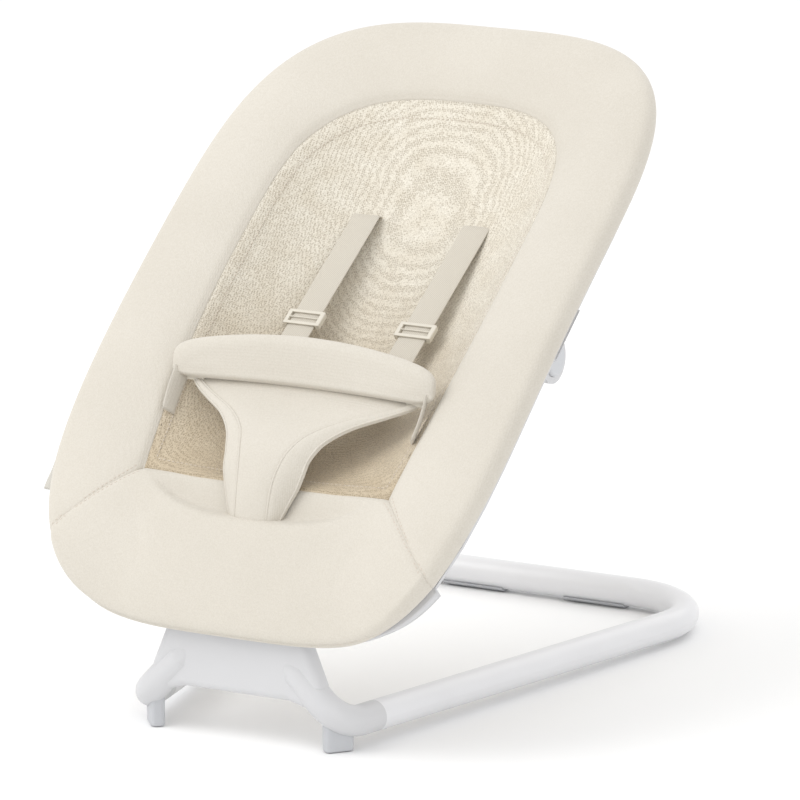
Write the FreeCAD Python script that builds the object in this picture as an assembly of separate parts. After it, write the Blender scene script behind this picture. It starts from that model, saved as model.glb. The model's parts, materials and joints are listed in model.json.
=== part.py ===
import FreeCAD, Part
import math
import os

V = FreeCAD.Vector

# Bouncer seat. Millimetres, Z up, the floor at Z = 0, the front of the seat towards -Y.
# "right" is +X, which is the right-hand side for someone who faces the front of the seat.

# Everything is laid out from the same origin, and moved by ORIGIN_Y when it is saved, so
# that the origin ends up under the middle of the overall length.
ORIGIN_Y = 5.6

# ---------------------------------------------------------------- base frame
TUBE_R = 12.7                     # base tube, outside radius
TUBE_WALL = 1.5
RAIL_JOINT = V(99, -203, 22.5)    # where a side rail leaves its elbow
REAR_CORNER = V(188.4, 271.2, 14.2)
REAR_BEND_R = 79.0
ELBOW_CORNER = V(91.2, -246.5, 23.3)
ELBOW_END = V(71.7, -246.5, 43.5)
ELBOW_BEND_R = 30.0
SPIGOT_R = 9.0                    # elbow's upper spigot, in the housing
FOOT_CENTRE = V(84.5, -237.4, 0)
FOOT_SIZE = (24.5, 12.0)          # length along the bend, width
FOOT_TURN = 50.0                  # its direction, degrees from X
GRIP_X = (30.0, 88.0)
GRIP_THICK = 1.9

# ---------------------------------------------------------------- front housing
HOUSING_Y = -246.5                # middle plane, where its two halves meet
HOUSING_HALF = 9.5                # half its thickness
HOUSING_OUTLINE = [(56, 100), (65, 88), (79, 54), (64, 35), (48, 39.5)]
HOUSING_ROUND = 7.0
BAR_AXIS_Z = 72.0                 # the sprung bar's cross run
BUSH_X = (12.0, 26.0)
BUSH_R = 8.0
RUNNING_GAP = 0.05

# ---------------------------------------------------------------- sprung bar and hubs
BAR_R = 6.0
BAR_CORNER_X = 42.0
HUB_X = 146.0                     # the plane that the bar's ends lie in
HUB_R = 20.0
HUB_S = 325.0                     # length along the seat where the hub hangs
HUB_DROP = 51.0                   # how far under the seat surface its axis is
HUB_INNER_X = (138.0, 154.0)
HUB_OUTER_X = (154.5, 171.0)
BOLT_R = 4.0
BUTTON_R = 14.0
BUTTON_TRAVEL = 3.0
SPRING_LENGTH = 4.0                # rubber sleeve that pushes the button back out
SPRING_R = 7.0
STOP_PIN_R = 2.0
STOP_PIN_AT = 11.0                # radius of the circle that the stop pin runs on
RECLINE = 14.0                    # degrees between the first and the last position

# ---------------------------------------------------------------- seat surface
# The seat's upper surface bends one way only: a side profile made of arcs, from the head
# end forward and down, and a flat outline laid on it. A point on it is (x, s, n): across,
# length from the head end, and height over the surface.
PROFILE_START = (206.5, 510.3)
PROFILE_SLOPE = 28.07
PROFILE_ARCS = [(130.0, 5.74), (230.0, 5.21), (155.0, 6.19), (65.0, 10.29), (75.0, 27.64)]
HALF_WIDTH = 200.6
HEAD_CURVE = (270.0, 263.5, 3.35)  # centre along s, reach, power of the superellipse
FRONT_CURVE = (330.0, 322.0, 4.0)
MESH_HALF = 126.0
MESH_HEAD = (250.0, 160.0, 2.95)
MESH_FRONT_S = 515.0              # the mesh's lower seam
MESH_FRONT_HALF = 112.5
MESH_SAG = 54.0
MESH_THICK = 2.0
SEAM_DEPTH = 8.0                  # how far the mesh seam lies under the surface at the head
SEAM_DEPTH_S = (90.0, 170.0)      # where along the seat it rises from there to the surface
DIAGONAL_S = 585.0                # where the front panel's side seams meet the edge
TAB_S = 527.0
HOOP_R = 8.0
HOOP_INSET = 12.0                 # its centre line runs in the surface, inside the outline
# Border across: distance in from the edge and height. It is sewn round the hoop.
BORDER_OVER = [(22, 10.5), (12, 12), (4, 9), (0.5, 3), (0.5, -3), (4, -9), (12, -12)]
BORDER_UNDER = [(12, -8.9), (6, -6.3), (3.2, 0), (6, 6.3), (12, 8.9), (22, 6.5)]
BORDER_THICK = 5.0                # at the mesh seam
RIM_SHAPE = [(8, -13), (20.4, -13), (20.4, -3), (22.8, -3), (22.8, -13), (27, -13),
             (27, -16), (8, -16)]
FRONT_THICK = 8.0                 # front panel, half of this at the front edge
FRONT_THIN_S = (560.0, 650.0)
FRONT_RISE = 11.0                 # how far the front panel rises towards its corners

# ---------------------------------------------------------------- harness
STRAP_WIDTH = 25.0
STRAP_THICK = 1.4
STRAP_X = 52.0
STRAP_PATH = [(74, 348), (66, 362), (57, 369), (-126, 251)]            # y, z
ADJUSTER_AT = 0.57                # place on the long run, 0 at the slot and 1 at its end
PAD_HALF = 120.0
PAD_CENTRE = (-149.0, 289.0)
CROTCH_FOOT = (-227.0, 176.0)


def mirror(shape):
    return shape.mirror(V(0, 0, 0), V(1, 0, 0))


def flip(point):
    return V(-point.x, point.y, point.z)


def rod(start, end, radius):
    return Part.makeCylinder(radius, (end - start).Length, start, end - start)


def x_rod(x0, x1, y, z, radius):
    return rod(V(x0, y, z), V(x1, y, z), radius)


def block(x0, x1, y0, y1, z0, z1):
    return Part.makeBox(x1 - x0, y1 - y0, z1 - z0, V(x0, y0, z0))


def polygon(points):
    return Part.makePolygon(list(points) + [points[0]])


def loft(wires):
    """Straight-sided solid through closed polygons with the same number of corners."""
    shape = Part.makeLoft(wires, True, True)
    if shape.Volume < 0:
        shape.reverse()
    return shape


def bent_path(points, radii):
    """Straight runs through the points, joined by tangent arcs of the given radii."""
    edges = []
    start = points[0]
    for before, corner, after, radius in zip(points, points[1:], points[2:], radii):
        back = (before - corner).normalize()
        ahead = (after - corner).normalize()
        half = back.getAngle(ahead) / 2
        reach = radius / math.tan(half)
        middle = (back + ahead).normalize()
        first = corner + back * reach
        last = corner + ahead * reach
        nearest = corner + middle * (radius / math.sin(half) - radius)
        edges.append(Part.LineSegment(start, first).toShape())
        edges.append(Part.Arc(first, nearest, last).toShape())
        start = last
    edges.append(Part.LineSegment(start, points[-1]).toShape())
    return Part.Wire(edges)


def largest_radii(points):
    """For each inner point, the largest bend that leaves a short straight between bends."""
    radii = []
    for before, corner, after in zip(points, points[1:], points[2:]):
        half = (before - corner).getAngle(after - corner) / 2
        run = min((before - corner).Length, (after - corner).Length)
        radii.append(0.45 * run * math.tan(half))
    return radii


def bar(path, radius):
    """Round bar along a path, one straight or torus piece for each of its edges."""
    pieces = []
    for edge in path.Edges:
        start = edge.valueAt(edge.FirstParameter)
        aim = edge.tangentAt(edge.FirstParameter)
        ring = Part.Wire(Part.Circle(start, aim, radius).toShape())
        pieces.append(Part.Wire(edge).makePipeShell([ring], True, True))
    return pieces[0].multiFuse(pieces[1:]).removeSplitter()


def tube(points, radii, outer, inner=0.0):
    """Round bar or tube along a bent path."""
    path = bent_path(points, radii)
    if inner > 0:
        return bar(path, outer).cut(bar(path, inner))
    return bar(path, outer)


def largest(shape):
    return max(shape.Solids, key=lambda solid: solid.Volume)


def save(name, shape):
    shape = shape.copy()
    shape.translate(V(0, -ORIGIN_Y, 0))
    shape.exportStep("parts/" + name + ".step")


def save_pair(name, right):
    save(name + "_right", right)
    save(name + "_left", mirror(right))


# ---------------------------------------------------------------- seat surface geometry
def profile(s):
    """Side profile at length s from the head end: y, z and slope in radians."""
    y, z = PROFILE_START
    slope = math.radians(PROFILE_SLOPE)
    for index, (length, turn) in enumerate(PROFILE_ARCS):
        last = index == len(PROFILE_ARCS) - 1
        run = max(0.0, s if last else min(s, length))
        bend = math.radians(turn) * run / length
        y -= run * math.cos(slope + bend / 2)
        z -= run * math.sin(slope + bend / 2)
        slope += bend
        s -= run
    return y, z, slope


def seat_point(x, s, n):
    y, z, slope = profile(s)
    return V(x, y - n * math.sin(slope), z + n * math.cos(slope))


def seat_normal(s):
    slope = profile(s)[2]
    return V(0, -math.sin(slope), math.cos(slope))


def rounded(value, power):
    """Other coordinate of a unit superellipse."""
    return max(0.0, 1 - abs(value) ** power) ** (1 / power)


def half_width(s):
    centre, reach, power = HEAD_CURVE
    if s < centre:
        return HALF_WIDTH * rounded((centre - s) / reach, power)
    centre, reach, power = FRONT_CURVE
    return HALF_WIDTH * rounded(max(0.0, s - centre) / reach, power)


def front_edge(x):
    """Length along the seat where its front edge is, at x."""
    centre, reach, power = FRONT_CURVE
    return centre + reach * rounded(x / HALF_WIDTH, power)


def mesh_half(s):
    centre, reach, power = MESH_HEAD
    if s < centre:
        return MESH_HALF * rounded((centre - s) / reach, power)
    taper = max(0.0, (s - 300) / (MESH_FRONT_S - 300))
    return MESH_HALF - (MESH_HALF - MESH_FRONT_HALF) * taper ** 1.6


def seam_height(s):
    """Height of the mesh seam over the seat surface."""
    first, last = SEAM_DEPTH_S
    return -SEAM_DEPTH * min(1.0, max(0.0, (last - s) / (last - first)))


def mesh_height(x, s):
    """Height of the sagging mesh over the seat surface."""
    centre, reach, _ = MESH_HEAD
    along = 2 * (s - centre + reach) / (MESH_FRONT_S - centre + reach) - 1
    across = x / MESH_HALF
    sag = MESH_SAG * (1 - abs(along) ** 2.6) * (1 - abs(across) ** 2.6)
    return seam_height(s) - 2.0 - sag


def front_point(x, s, depth):
    """Point at a depth under the front panel's outer face; all depths halve to the edge."""
    first, last = FRONT_THIN_S
    thin = 1 - 0.5 * min(1.0, max(0.0, (s - first) / (last - first)))
    rise = FRONT_RISE * (abs(x) / HALF_WIDTH) ** 4
    return seat_point(x, s, rise - depth * thin)


def curve_point(angle, half, curve):
    """Point on a superellipse end: angle 0 on the right side, 90 at the middle."""
    centre, reach, power = curve
    x = half * max(0.0, math.cos(math.radians(angle))) ** (2 / power)
    s = centre - reach * math.sin(math.radians(angle)) ** (2 / power)
    return x, s


def border_stations():
    """Pairs of an outline point and a mesh seam point, from the right seam to the left."""
    stations = []
    steps = 8
    for i in range(steps):
        u = i / steps
        outer_s = DIAGONAL_S + (HEAD_CURVE[0] - DIAGONAL_S) * u
        inner_s = MESH_FRONT_S + (MESH_HEAD[0] - MESH_FRONT_S) * u
        stations.append(((half_width(outer_s), outer_s), (mesh_half(inner_s), inner_s)))
    for i in range(steps + 1):
        u = i / steps
        angle = 90 * u * u * (3 - 2 * u)
        outer = curve_point(angle, HALF_WIDTH, HEAD_CURVE)
        stations.append((outer, curve_point(angle, MESH_HALF, MESH_HEAD)))
    left = [((-outer[0], outer[1]), (-inner[0], inner[1])) for outer, inner in stations[:-1]]
    return stations + left[::-1]


def edge_section(outer, inner, shape):
    """Flat polygon across the border: shape holds (distance in from the edge, height)."""
    edge = seat_point(outer[0], outer[1], 0)
    seam = seat_point(inner[0], inner[1], 0)
    inward = (seam - edge).normalize()
    up = seat_normal(outer[1]) + seat_normal(inner[1])
    up = (up - inward * up.dot(inward)).normalize()
    return polygon([edge + inward * distance + up * height for distance, height in shape])


def border_section(outer, inner):
    width = (seat_point(*inner, 0) - seat_point(*outer, 0)).Length
    height = seam_height(inner[1])
    seam = [(width, height - BORDER_THICK), (width, height)]
    return edge_section(outer, inner, seam[1:] + BORDER_OVER + BORDER_UNDER + seam[:1])


# ---------------------------------------------------------------- base
def elbow_solid(outer, inner=0.0):
    return tube([RAIL_JOINT, ELBOW_CORNER, ELBOW_END], [ELBOW_BEND_R], outer, inner)


def make_base():
    rail = (REAR_CORNER - RAIL_JOINT).normalize()
    upward = (ELBOW_END - ELBOW_CORNER).normalize()
    frame = tube([RAIL_JOINT, REAR_CORNER, flip(REAR_CORNER), flip(RAIL_JOINT)],
                 [REAR_BEND_R, REAR_BEND_R], TUBE_R, TUBE_R - TUBE_WALL)
    rivet_at = RAIL_JOINT + rail * 12
    rivet = rod(rivet_at - V(0, 0, TUBE_R + 0.6), rivet_at - V(0, 0, 6), 2.0)
    frame = frame.cut(rivet).cut(mirror(rivet))

    elbow = elbow_solid(TUBE_R, TUBE_R - 3.0)
    elbow = elbow.fuse(rod(RAIL_JOINT, RAIL_JOINT + rail * 25, TUBE_R - TUBE_WALL - 0.05))
    elbow = elbow.fuse(rod(ELBOW_END - upward * 6, ELBOW_END, TUBE_R - 2.0))
    elbow = elbow.fuse(rod(ELBOW_END, ELBOW_END + upward * 14, SPIGOT_R))
    elbow = elbow.cut(rivet)

    length, width = FOOT_SIZE
    blade = block(-length / 2, length / 2, -width / 2, width / 2, 0, 30)
    upright = [e for e in blade.Edges if abs(e.tangentAt(0).z) > 0.9]
    blade = blade.makeFillet(4.0, upright)
    low = [e for e in blade.Edges if e.BoundBox.ZMax < 0.1]
    blade = blade.makeFillet(1.5, low)
    blade.rotate(V(0, 0, 0), V(0, 0, 1), FOOT_TURN)
    blade.translate(FOOT_CENTRE)
    head = rod(FOOT_CENTRE + V(0, 0, 3), FOOT_CENTRE + V(0, 0, 6), 3.6)
    screw = head.fuse(rod(FOOT_CENTRE + V(0, 0, 6), FOOT_CENTRE + V(0, 0, 24), 1.8))
    well = rod(FOOT_CENTRE - V(0, 0, 1), FOOT_CENTRE + V(0, 0, 3), 3.6)
    blade = blade.cut(elbow_solid(TUBE_R)).cut(screw).cut(well)
    elbow = elbow.cut(screw)

    grip_y = REAR_CORNER.y
    grip_z = REAR_CORNER.z
    grip = x_rod(*GRIP_X, grip_y, grip_z, TUBE_R + GRIP_THICK)
    grip = grip.cut(x_rod(0, 200, grip_y, grip_z, TUBE_R))
    grip = grip.common(block(0, 200, grip_y - 20, grip_y + 20, 0, 4.5))

    save("base_tube", frame)
    save("rail_rivets", Part.makeCompound([rivet, mirror(rivet)]))
    save_pair("elbow", elbow)
    save_pair("foot", blade)
    save("foot_screws", Part.makeCompound([screw, mirror(screw)]))
    save_pair("rear_grip", grip)


def make_housing():
    front = HOUSING_Y - HOUSING_HALF
    rear = HOUSING_Y + HOUSING_HALF
    outline = HOUSING_OUTLINE + [(-x, z) for x, z in reversed(HOUSING_OUTLINE)]
    face = Part.Face(polygon([V(x, front, z) for x, z in outline]))
    body = face.extrude(V(0, rear - front, 0))
    rims = []
    for edge in body.Edges:
        box = edge.BoundBox
        if box.YLength < 0.1 and box.ZMin < 99:
            rims.append(edge)
    body = body.makeFillet(HOUSING_ROUND, rims)
    upward = (ELBOW_END - ELBOW_CORNER).normalize()
    for side in (lambda p: p, flip):
        leg = rod(side(ELBOW_END), side(ELBOW_END + upward * 26), TUBE_R)
        body = body.fuse(leg)
        tip = side(ELBOW_END + upward * 26)
        body = body.fuse(Part.makeCone(TUBE_R, 8.0, 16, tip, tip - side(ELBOW_END)))
    elbow = elbow_solid(TUBE_R).fuse(rod(ELBOW_END, ELBOW_END + upward * 14, SPIGOT_R))
    body = body.cut(elbow).cut(mirror(elbow))

    low, high = BUSH_X
    bore = x_rod(-high - 1, high + 1, HOUSING_Y, BAR_AXIS_Z, BUSH_R)
    inner = block(1 - low, low - 1, HOUSING_Y - 6.5, HOUSING_Y + 6.5, 56, 92)
    hollow = bore.fuse(inner)
    for x0, x1 in ((high + 1, 58), (-58, -high - 1)):
        hollow = hollow.fuse(block(x0, x1, HOUSING_Y - 6.5, HOUSING_Y + 6.5, 60, 92))
    for x0, x1 in ((33, 64), (-64, -33)):
        hollow = hollow.fuse(block(x0, x1, HOUSING_Y - 1, rear + 8, 64, 97))
    body = body.cut(hollow)

    screws = []
    for x in (-19, 19):
        for z in (BAR_AXIS_Z - 18, BAR_AXIS_Z + 18):
            shank = rod(V(x, rear - 2, z), V(x, front + 3, z), 1.6)
            screws.append(shank.fuse(rod(V(x, rear, z), V(x, rear - 2.5, z), 3.2)))
    for screw in screws:
        body = body.cut(screw)
    half = block(-200, 200, HOUSING_Y, HOUSING_Y + 80, 0, 200)
    save("housing_front", body.cut(half))
    save("housing_rear", body.common(half))
    save("housing_screws", Part.makeCompound(screws))

    bush = x_rod(low, high, HOUSING_Y, BAR_AXIS_Z, BUSH_R)
    bush = bush.cut(x_rod(0, 60, HOUSING_Y, BAR_AXIS_Z, BAR_R + RUNNING_GAP))
    save_pair("bar_bush", bush)


# ---------------------------------------------------------------- carrier and hubs
def hub_axis():
    centre = seat_point(0, HUB_S, -HUB_DROP)
    return centre.y, centre.z


def stop_slot(y, z):
    """Curved slot in the inner hub half that the stop pin runs in."""
    x0 = HUB_INNER_X[1] - 8
    x1 = HUB_INNER_X[1] + 1
    gap = STOP_PIN_R + 0.4
    ring = x_rod(x0, x1, y, z, STOP_PIN_AT + gap).cut(x_rod(x0, x1, y, z, STOP_PIN_AT - gap))
    angles = (90.0, 90.0 - RECLINE)
    far = []
    ends = []
    for angle in angles:
        dy = math.cos(math.radians(angle))
        dz = math.sin(math.radians(angle))
        far.append(V(x0, y + 40 * dy, z + 40 * dz))
        ends.append(x_rod(x0, x1, y + STOP_PIN_AT * dy, z + STOP_PIN_AT * dz, gap))
    wedge = Part.Face(polygon([V(x0, y, z)] + far)).extrude(V(x1 - x0, 0, 0))
    return ring.common(wedge).fuse(ends[0]).fuse(ends[1])


def make_carrier():
    y, z = hub_axis()
    down = V(0, -math.sqrt(0.5), -math.sqrt(0.5))
    hub = V(HUB_X, y, z)
    knee = hub + down * 45
    corner = V(BAR_CORNER_X, HOUSING_Y, BAR_AXIS_Z)
    right = [hub + down * 12, knee, corner]
    sprung_bar = tube(right + [flip(p) for p in reversed(right)], [60, 18, 18, 60], BAR_R)
    save("support_bar", sprung_bar)

    shell = x_rod(*HUB_INNER_X, y, z, HUB_R)
    shell = shell.fuse(rod(hub + down * 8, hub + down * 38, BAR_R + 2.0)).cut(sprung_bar)
    bolt = x_rod(HUB_INNER_X[0], HUB_OUTER_X[0] + 5, y, z, BOLT_R)
    bolt = bolt.fuse(x_rod(HUB_INNER_X[0] - 4, HUB_INNER_X[0], y, z, 7.0))
    shell = shell.cut(bolt).cut(stop_slot(y, z))
    save_pair("hub_inner", shell)
    save_pair("hub_bolt", bolt)


def hub_outer_solid():
    y, z = hub_axis()
    x0, x1 = HUB_OUTER_X
    shell = x_rod(x0, x1, y, z, HUB_R)
    along = seat_point(0, HUB_S + 1, 0) - seat_point(0, HUB_S, 0)
    low = seat_point(0, HUB_S, -HUB_DROP)
    high = seat_point(0, HUB_S, RIM_SHAPE[-1][1])
    edge = half_width(HUB_S)
    rows = ((low, x0 + 1, x1 - 1, 15), (high, edge - 27, edge - 6, 26))
    wires = []
    for at, left, right, reach in rows:
        corners = [at + V(left, 0, 0) - along * reach, at + V(right, 0, 0) - along * reach,
                   at + V(right, 0, 0) + along * reach, at + V(left, 0, 0) + along * reach]
        wires.append(polygon(corners))
    shell = shell.fuse(loft(wires))
    shell = shell.cut(x_rod(x0 + 5.5, x1 + 30, y, z, BUTTON_R + 0.3))
    shell = shell.cut(x_rod(x0 - 1, x0 + 5.5, y, z, BOLT_R + RUNNING_GAP))
    pin_hole = x_rod(x0 - 1, x0 + 6, y, z + STOP_PIN_AT, STOP_PIN_R + RUNNING_GAP)
    return shell.cut(pin_hole)


def make_button():
    y, z = hub_axis()
    x1 = HUB_OUTER_X[1]
    face = x1 + BUTTON_TRAVEL
    cap = x_rod(x1 - 3.5, face, y, z, BUTTON_R)
    rim = [e for e in cap.Edges if e.BoundBox.XMin > face - 0.1]
    cap = cap.makeFillet(2.5, rim)
    cap = cap.cut(x_rod(x1 - 4, x1, y, z, 8.5))
    pin = x_rod(HUB_INNER_X[1] - 3, x1 - 2, y, z + STOP_PIN_AT, STOP_PIN_R)
    save_pair("hub_button", cap.fuse(pin))

    foot = HUB_OUTER_X[0] + 5.6
    sleeve = x_rod(foot, foot + SPRING_LENGTH, y, z, SPRING_R)
    sleeve = sleeve.cut(x_rod(foot - 1, foot + SPRING_LENGTH + 1, y, z, SPRING_R - 1.2))
    save_pair("button_spring", sleeve)


# ---------------------------------------------------------------- seat frame
def hoop_tube(right, outer, inner=0.0):
    """Tube round one end of the seat, through right-hand (x, s, n) points and their mirror."""
    points = [seat_point(*place) for place in right]
    points += [flip(p) for p in reversed(points)]
    return tube(points, largest_radii(points), outer, inner)


def front_hoop_points():
    """Right half of the lower hoop, bending down and in behind the front panel."""
    side = half_width(HUB_S) - HOOP_INSET
    return [(side, HUB_S + 1, 0), (side, 395, 0), (side - 2, 460, 0), (side - 7, 515, -1),
            (side - 21, 556, -8), (side - 46, 580, -17), (side - 90, 586, -23)]


def head_hoop_points():
    """Right half of the upper hoop, a constant distance inside the seat's outline."""
    half = HALF_WIDTH - HOOP_INSET
    curve = (HEAD_CURVE[0], HEAD_CURVE[1] - HOOP_INSET, HEAD_CURVE[2] - 0.15)
    points = [(half, HUB_S - 1, 0), (half, HEAD_CURVE[0] - 15, 0)]
    for angle in (3, 9, 18, 30, 44, 58, 71, 81):
        points.append(curve_point(angle, half, curve) + (0,))
    return points


def rim_strip():
    half = border_stations()[:17]
    return loft([edge_section(outer, inner, RIM_SHAPE) for outer, inner in half])


def apron_panel():
    """Moulded panel under the front fabric, with a flange round its corners."""
    wires = []
    for i in range(25):
        x = -174 + 14.5 * i
        wires.append(front_section(x, 541, 1.0, FRONT_THICK + 0.6, FRONT_THICK + 3.6))
    panel = loft(wires).cut(crotch_slot())
    shape = [(0.5, 0), (3.5, 0), (3.5, -7), (0.5, -7)]
    flange = []
    for i in range(9):
        s = DIAGONAL_S + 3 + 6.5 * i
        x = half_width(s)
        flange.append(edge_section((x, s), (x * 0.6, s - 60), shape))
    flange = loft(flange)
    return panel.fuse(flange).fuse(mirror(flange)).cut(front_cushion())


def front_section(x, start, beyond, top, bottom):
    """Polygon at one x, from the front panel's upper seam to the front edge."""
    seam = start + max(0.0, abs(x) - MESH_FRONT_HALF) * (
        (DIAGONAL_S - MESH_FRONT_S) / (half_width(DIAGONAL_S) - MESH_FRONT_HALF))
    end = front_edge(x) + beyond
    if seam > end - 6:
        seam = end - 6
    count = 8
    upper = []
    lower = []
    for i in range(count):
        s = seam + (end - seam) * i / (count - 1)
        upper.append(front_point(x, s, top))
        lower.append(front_point(x, s, bottom))
    return polygon(upper + lower[::-1])


def make_seat_frame():
    outer = hub_outer_solid()
    upper = hoop_tube(head_hoop_points(), HOOP_R, HOOP_R - 1.5)
    front = hoop_tube(front_hoop_points(), HOOP_R, HOOP_R - 1.5)
    save("hoop_upper", upper)
    save("hoop_lower", front)

    screws = []
    rim = rim_strip().cut(upper).cut(front).cut(outer)
    for s in (HUB_S - 15, HUB_S + 15):
        x = half_width(s) - 16.5
        top = RIM_SHAPE[0][1]
        screw = rod(seat_point(x, s, top + 2), seat_point(x, s, top), 3.2)
        screw = screw.fuse(rod(seat_point(x, s, top), seat_point(x, s, top - 14), 1.8))
        rim = rim.cut(screw)
        outer = outer.cut(screw)
        screws += [screw, mirror(screw)]
    save_pair("hub_outer", largest(outer))
    save_pair("rim", largest(rim))
    save("bracket_screws", Part.makeCompound(screws))
    save("apron_shell", apron_panel().cut(front))


# ---------------------------------------------------------------- soft parts
def crotch_slot():
    y, z = CROTCH_FOOT
    return block(-30, 30, y - 7, y + 7, z - 40, z + 40)


def front_cushion():
    wires = []
    for i in range(25):
        x = 170 * (i / 12 - 1)
        wires.append(front_section(x, MESH_FRONT_S + 2, 0, 0, FRONT_THICK))
    return loft(wires).cut(crotch_slot())


def make_soft():
    border = loft([border_section(outer, inner) for outer, inner in border_stations()])
    border = border.cut(hoop_tube(head_hoop_points(), HOOP_R + 0.1))
    border = border.cut(hoop_tube(front_hoop_points(), HOOP_R + 0.1))
    strap = waist_strap()
    save("border_cushion", largest(border.cut(strap).cut(mirror(strap))))

    save("front_cushion", front_cushion())

    wires = []
    head = MESH_HEAD[0] - MESH_HEAD[1]
    for s in [head + 3, head + 8, head + 16, head + 28, head + 45, head + 70, 190, 230, 270,
              310, 350, 390, 430, 465, 490, MESH_FRONT_S - 1]:
        half = mesh_half(s) - 1.5
        top = []
        bottom = []
        for i in range(9):
            x = half * (i - 4) / 4
            top.append(seat_point(x, s, mesh_height(x, s)))
            bottom.append(seat_point(x, s, mesh_height(x, s) - MESH_THICK))
        wires.append(polygon(top + bottom[::-1]))
    mesh = loft(wires)
    y, z = STRAP_PATH[2]
    for x in (-STRAP_X, STRAP_X):
        mesh = mesh.cut(block(x - 15, x + 15, y - 12, y + 9, z - 20, z + 20))
    save("mesh_panel", mesh)

    tab = block(-203, -190, -13, 13, -0.4, 0.4)
    tab.rotate(V(0, 0, 0), V(1, 0, 0), math.degrees(profile(TAB_S)[2]))
    tab.translate(seat_point(0, TAB_S, -12.6))
    save("label_tab", tab)


def strap_solid(path, x, width, thick):
    """Webbing along a side path, as a thin prism."""
    upper = []
    lower = []
    for i, (y, z) in enumerate(path):
        before = path[max(0, i - 1)]
        after = path[min(len(path) - 1, i + 1)]
        run = math.hypot(after[0] - before[0], after[1] - before[1])
        dy = -(after[1] - before[1]) / run * thick / 2
        dz = (after[0] - before[0]) / run * thick / 2
        upper.append(V(x - width / 2, y - dy, z - dz))
        lower.append(V(x - width / 2, y + dy, z + dz))
    face = Part.Face(polygon(upper + lower[::-1]))
    return face.extrude(V(width, 0, 0))


def waist_strap():
    """Side strap, from a slot beside the mesh up to the pad's end."""
    return strap_solid([(-150, 250), (-143, 261), (-139.5, 272)], 115.6, 11, STRAP_THICK)


def adjuster():
    """Frame round the strap with a cross bar, on the strap's long run."""
    (y0, z0), (y1, z1) = STRAP_PATH[2], STRAP_PATH[3]
    y = y0 + (y1 - y0) * ADJUSTER_AT
    z = z0 + (z1 - z0) * ADJUSTER_AT
    outer = block(-17, 17, -8, 8, -2.6, 2.6)
    outer = outer.makeFillet(1.2, [e for e in outer.Edges if e.BoundBox.XLength < 30])
    window = block(-13.2, 13.2, -5.2, 5.2, -5, 5)
    channel = block(-13.2, 13.2, -20, 20, -1.4, 1.4)
    cross_bar = rod(V(-14, 0, 2.0), V(14, 0, 2.0), 0.5)
    shape = outer.cut(window).cut(channel).fuse(cross_bar)
    shape.rotate(V(0, 0, 0), V(1, 0, 0), math.degrees(math.atan2(z0 - z1, y0 - y1)))
    shape.translate(V(STRAP_X, y, z))
    return shape


def make_harness():
    strap = strap_solid(STRAP_PATH, STRAP_X, STRAP_WIDTH, STRAP_THICK)
    save_pair("shoulder_strap", strap)
    anchor = x_rod(STRAP_X - 22, STRAP_X + 22, STRAP_PATH[0][0] + 4.6, STRAP_PATH[0][1], 3.5)
    save_pair("strap_anchor", anchor)
    save_pair("adjuster", adjuster())

    save_pair("waist_strap", waist_strap())
    save_pair("waist_buckle", block(94, 110, -141, -137, 264, 280))

    wires = []
    for i in range(11):
        u = -1 + 0.2 * i
        x = PAD_HALF * u
        drop = 12 * u * u
        tall = 18 - 9 * abs(u) ** 3
        deep = 6 - 2 * abs(u) ** 3
        y = PAD_CENTRE[0]
        z = PAD_CENTRE[1] - drop
        corners = []
        for k in range(8):
            turn = math.radians(22.5 + 45 * k)
            corners.append(V(x, y + deep * 1.08 * math.cos(turn), z + tall * 1.08 * math.sin(turn)))
        wires.append(polygon(corners))
    pad = loft(wires)
    save("waist_pad", pad)

    rows = [(CROTCH_FOOT[0], CROTCH_FOOT[1] - 4, 26), (-226, 190, 27), (-224, 212, 31),
            (-213, 236, 42), (-190, 255, 62), (-165, 268, 88)]
    wires = []
    for i, (y, z, half) in enumerate(rows):
        before = rows[max(0, i - 1)]
        after = rows[min(len(rows) - 1, i + 1)]
        run = math.hypot(after[0] - before[0], after[1] - before[1])
        dy = -(after[1] - before[1]) / run * 4
        dz = (after[0] - before[0]) / run * 4
        wires.append(polygon([V(-half, y + dy, z + dz), V(half, y + dy, z + dz),
                              V(half, y - dy, z - dz), V(-half, y - dy, z - dz)]))
    save("crotch_piece", loft(wires))


def main():
    os.makedirs("parts", exist_ok=True)
    make_base()
    make_housing()
    make_carrier()
    make_button()
    make_seat_frame()
    make_soft()
    make_harness()


main()
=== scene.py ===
"""Looks of the bouncer seat: fabric, mesh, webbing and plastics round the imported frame."""
import json
import math

import bpy
import numpy as np
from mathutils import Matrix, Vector
from mathutils.bvhtree import BVHTree


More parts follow.
